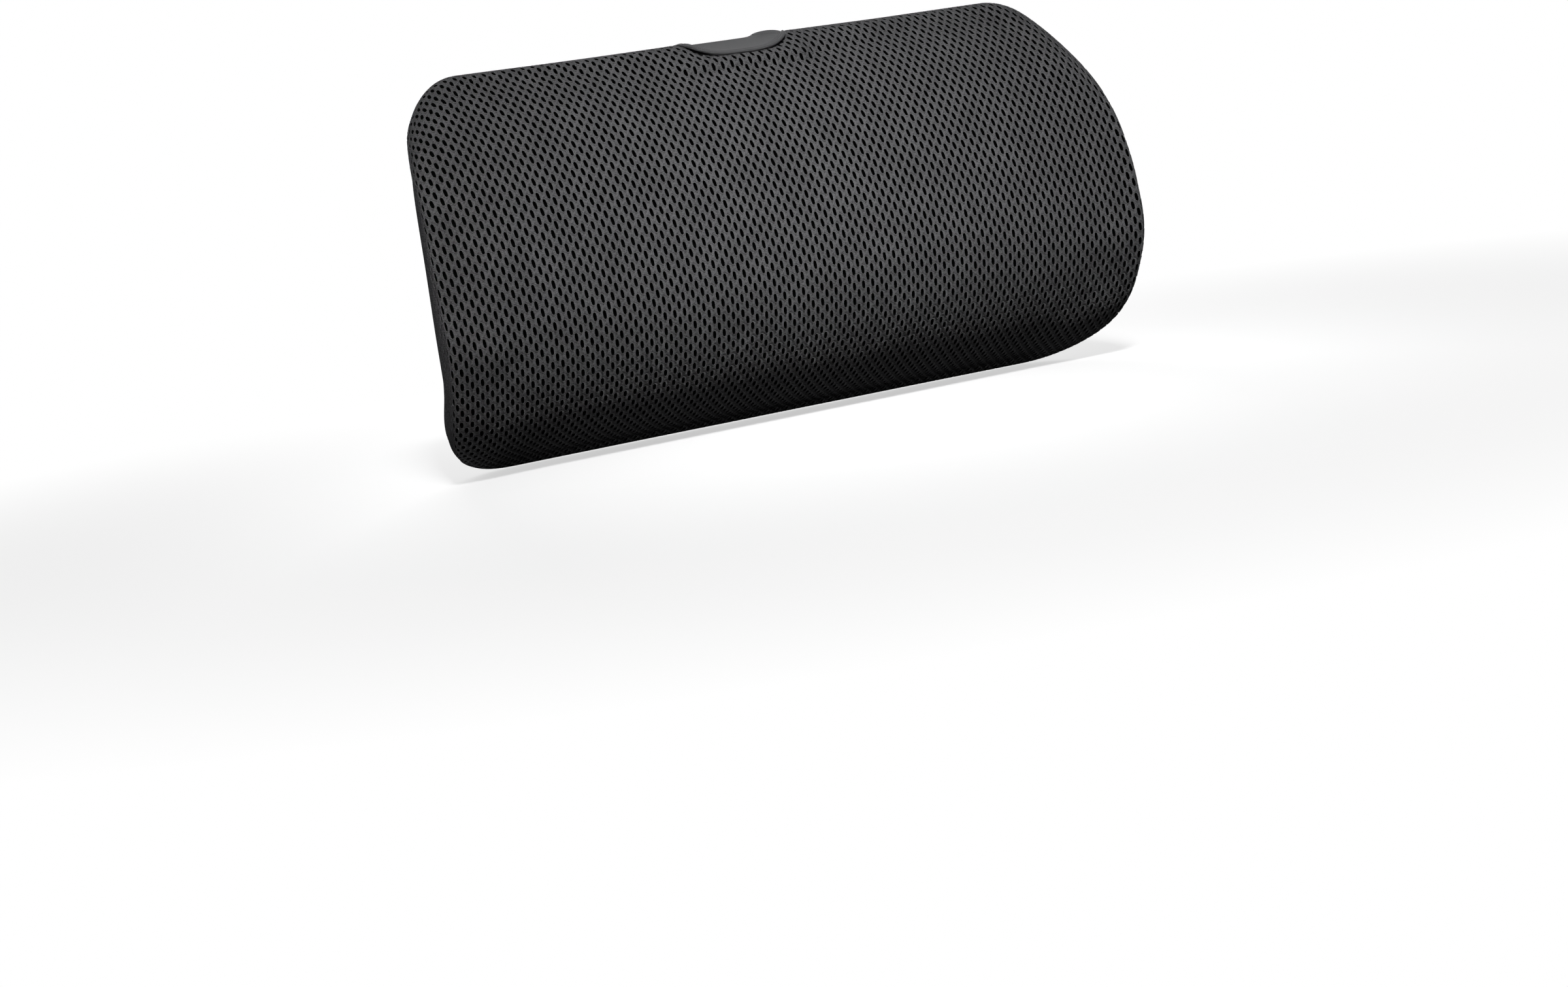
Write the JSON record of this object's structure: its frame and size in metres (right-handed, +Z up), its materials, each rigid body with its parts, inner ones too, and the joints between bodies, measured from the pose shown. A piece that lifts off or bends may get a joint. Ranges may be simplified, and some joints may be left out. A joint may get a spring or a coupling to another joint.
{
  "type": "strap-on headrest cushion",
  "caption": "Crowned foam headrest in a spacer mesh cover with a zipped woven back and an elastic strap that closes round a rail behind a recliner's backrest.",
  "frame": {"origin": "middle of the flat back, in the plane that lies on the backrest", "axes": "+X across the cushion, +Y out of the back towards the backrest, +Z up the backrest"},
  "size_m": [0.4226, 0.1666, 0.2305],
  "materials": {
    "spacer_mesh": "matte knitted spacer mesh, dark charcoal",
    "wadding": "loose white polyester wadding",
    "foam": "open-cell foam",
    "woven_back": "plain woven polyester, near black",
    "seam_lip": "rolled and stitched fabric edge",
    "zip_tape": "ribbed woven tape",
    "zip_teeth": "moulded black plastic",
    "zip_metal": "black painted metal",
    "elastic": "ribbed woven elastic, charcoal grey",
    "loop_pile": "soft looped pile",
    "hook_tape": "stiff hooked tape",
    "grip_tab": "folded ribbon"
  },
  "bodies": {
    "cushion": {"front_cover": "spacer_mesh", "wadding_wrap": "wadding", "foam_core": "foam", "back_wadding": "wadding", "back_panel_upper": "woven_back", "back_panel_lower": "woven_back", "edge_welt": "seam_lip", "zip_tape_upper": "zip_tape", "zip_tape_lower": "zip_tape", "zip_teeth_upper": "zip_teeth", "zip_teeth_lower": "zip_teeth", "zip_stops": "zip_teeth", "strap_binding": "seam_lip", "strap_root": "elastic"},
    "slider": {"zip_slider": "zip_metal"},
    "pull": {"zip_pull": "zip_metal"},
    "strap": {"strap_band": "elastic", "loop_patch": "loop_pile"},
    "flap": {"strap_flap": "elastic", "hook_patch": "hook_tape", "flap_tab": "grip_tab"}
  },
  "joints": [
    {"name": "strap_swing", "type": "hinge", "parent": "cushion", "child": "strap", "pos_m": [0, 0.0025, 0.1144], "axis": [1, 0, 0], "range_deg": [0, 100]},
    {"name": "flap_peel", "type": "hinge", "parent": "strap", "child": "flap", "pos_m": [0, 0.0617, -0.04], "axis": [-1, 0, 0], "range_deg": [0, 120]},
    {"name": "zip_slide", "type": "slide", "parent": "cushion", "child": "slider", "axis": [1, 0, 0], "range_m": [0, 0.256]},
    {"name": "pull_swing", "type": "hinge", "parent": "slider", "child": "pull", "pos_m": [-0.1315, -0.00097, -0.07], "axis": [0, 0, 1], "range_deg": [0, 165]}
  ]
}
